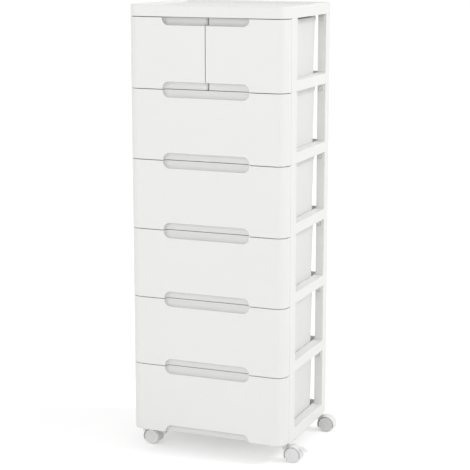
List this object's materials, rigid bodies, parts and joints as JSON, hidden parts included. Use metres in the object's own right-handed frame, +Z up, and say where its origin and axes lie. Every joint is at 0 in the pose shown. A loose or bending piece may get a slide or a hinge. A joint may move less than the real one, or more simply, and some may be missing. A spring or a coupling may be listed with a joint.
{
  "type": "plastic drawer tower",
  "caption": "Tall open-sided plastic storage tower with stacked sliding drawers, two small ones on top, on swivel casters.",
  "frame": {"origin": "on the floor, under the middle of the tower's body; the casters trail to the right at rest, so the whole bounding box reaches further on that side", "axes": "+X to the right as seen from the front, +Y to the rear, +Z up; the drawers slide out along -Y"},
  "size_m": [0.4218, 0.3, 1.035],
  "materials": {
    "frame": "satin moulded polypropylene",
    "drawer_front": "satin moulded polypropylene",
    "drawer_tub": "fine matt moulded polypropylene",
    "caster_plastic": "satin moulded nylon",
    "wheel": "smooth moulded nylon",
    "steel": "zinc plated"
  },
  "bodies": {
    "tower": {"base_frame": "frame", "caster_front_left_stem": "steel", "caster_front_right_stem": "steel", "caster_rear_left_stem": "steel", "caster_rear_right_stem": "steel", "caster_sockets": "caster_plastic", "centre_divider": "frame", "frame_lock_pins": "frame", "shelf_2": "frame", "shelf_3": "frame", "shelf_4": "frame", "shelf_5": "frame", "shelf_6": "frame", "side_frame_left_1": "frame", "side_frame_left_2": "frame", "side_frame_left_3": "frame", "side_frame_left_4": "frame", "side_frame_left_5": "frame", "side_frame_left_6": "frame", "side_frame_right_1": "frame", "side_frame_right_2": "frame", "side_frame_right_3": "frame", "side_frame_right_4": "frame", "side_frame_right_5": "frame", "side_frame_right_6": "frame", "top_tray": "frame"},
    "wheels_front_left": {"caster_front_left_axle": "steel", "caster_front_left_wheel_front": "wheel", "caster_front_left_wheel_rear": "wheel"},
    "brake_front_left": {"caster_front_left_brake": "caster_plastic"},
    "caster_front_left": {"caster_front_left_hood": "caster_plastic"},
    "wheels_front_right": {"caster_front_right_axle": "steel", "caster_front_right_wheel_front": "wheel", "caster_front_right_wheel_rear": "wheel"},
    "brake_front_right": {"caster_front_right_brake": "caster_plastic"},
    "caster_front_right": {"caster_front_right_hood": "caster_plastic"},
    "wheels_rear_left": {"caster_rear_left_axle": "steel", "caster_rear_left_wheel_front": "wheel", "caster_rear_left_wheel_rear": "wheel"},
    "caster_rear_left": {"caster_rear_left_hood": "caster_plastic"},
    "wheels_rear_right": {"caster_rear_right_axle": "steel", "caster_rear_right_wheel_front": "wheel", "caster_rear_right_wheel_rear": "wheel"},
    "caster_rear_right": {"caster_rear_right_hood": "caster_plastic"},
    "drawer_1": {"drawer_front_1": "drawer_front", "drawer_tub_1": "drawer_tub"},
    "drawer_2": {"drawer_front_2": "drawer_front", "drawer_tub_2": "drawer_tub"},
    "drawer_3": {"drawer_front_3": "drawer_front", "drawer_tub_3": "drawer_tub"},
    "drawer_4": {"drawer_front_4": "drawer_front", "drawer_tub_4": "drawer_tub"},
    "drawer_5": {"drawer_front_5": "drawer_front", "drawer_tub_5": "drawer_tub"},
    "drawer_top_left": {"drawer_front_top_left": "drawer_front", "drawer_tub_top_left": "drawer_tub"},
    "drawer_top_right": {"drawer_front_top_right": "drawer_front", "drawer_tub_top_right": "drawer_tub"}
  },
  "joints": [
    {"name": "drawer_1_slide", "type": "slide", "parent": "tower", "child": "drawer_1", "axis": [0, -1, 0], "range_m": [0, 0.2]},
    {"name": "drawer_2_slide", "type": "slide", "parent": "tower", "child": "drawer_2", "axis": [0, -1, 0], "range_m": [0, 0.2]},
    {"name": "drawer_3_slide", "type": "slide", "parent": "tower", "child": "drawer_3", "axis": [0, -1, 0], "range_m": [0, 0.2]},
    {"name": "drawer_4_slide", "type": "slide", "parent": "tower", "child": "drawer_4", "axis": [0, -1, 0], "range_m": [0, 0.2]},
    {"name": "drawer_5_slide", "type": "slide", "parent": "tower", "child": "drawer_5", "axis": [0, -1, 0], "range_m": [0, 0.2]},
    {"name": "drawer_top_left_slide", "type": "slide", "parent": "tower", "child": "drawer_top_left", "axis": [0, -1, 0], "range_m": [0, 0.2]},
    {"name": "drawer_top_right_slide", "type": "slide", "parent": "tower", "child": "drawer_top_right", "axis": [0, -1, 0], "range_m": [0, 0.2]},
    {"name": "caster_front_left_swivel", "type": "hinge", "parent": "tower", "child": "caster_front_left", "pos_m": [-0.177, -0.106, 0.036], "axis": [0, 0, 1], "continuous": true},
    {"name": "wheels_front_left_roll", "type": "hinge", "parent": "caster_front_left", "child": "wheels_front_left", "pos_m": [-0.156, -0.106, 0.018], "axis": [0, 1, 0], "continuous": true},
    {"name": "brake_front_left_press", "type": "hinge", "parent": "caster_front_left", "child": "brake_front_left", "pos_m": [-0.1365, -0.106, 0.0345], "axis": [0, 1, 0], "range_deg": [0, 12]},
    {"name": "caster_rear_left_swivel", "type": "hinge", "parent": "tower", "child": "caster_rear_left", "pos_m": [-0.177, 0.133, 0.036], "axis": [0, 0, 1], "continuous": true},
    {"name": "wheels_rear_left_roll", "type": "hinge", "parent": "caster_rear_left", "child": "wheels_rear_left", "pos_m": [-0.156, 0.133, 0.018], "axis": [0, 1, 0], "continuous": true},
    {"name": "caster_front_right_swivel", "type": "hinge", "parent": "tower", "child": "caster_front_right", "pos_m": [0.177, -0.106, 0.036], "axis": [0, 0, 1], "continuous": true},
    {"name": "wheels_front_right_roll", "type": "hinge", "parent": "caster_front_right", "child": "wheels_front_right", "pos_m": [0.198, -0.106, 0.018], "axis": [0, 1, 0], "continuous": true},
    {"name": "brake_front_right_press", "type": "hinge", "parent": "caster_front_right", "child": "brake_front_right", "pos_m": [0.2175, -0.106, 0.0345], "axis": [0, 1, 0], "range_deg": [0, 12]},
    {"name": "caster_rear_right_swivel", "type": "hinge", "parent": "tower", "child": "caster_rear_right", "pos_m": [0.177, 0.133, 0.036], "axis": [0, 0, 1], "continuous": true},
    {"name": "wheels_rear_right_roll", "type": "hinge", "parent": "caster_rear_right", "child": "wheels_rear_right", "pos_m": [0.198, 0.133, 0.018], "axis": [0, 1, 0], "continuous": true}
  ]
}
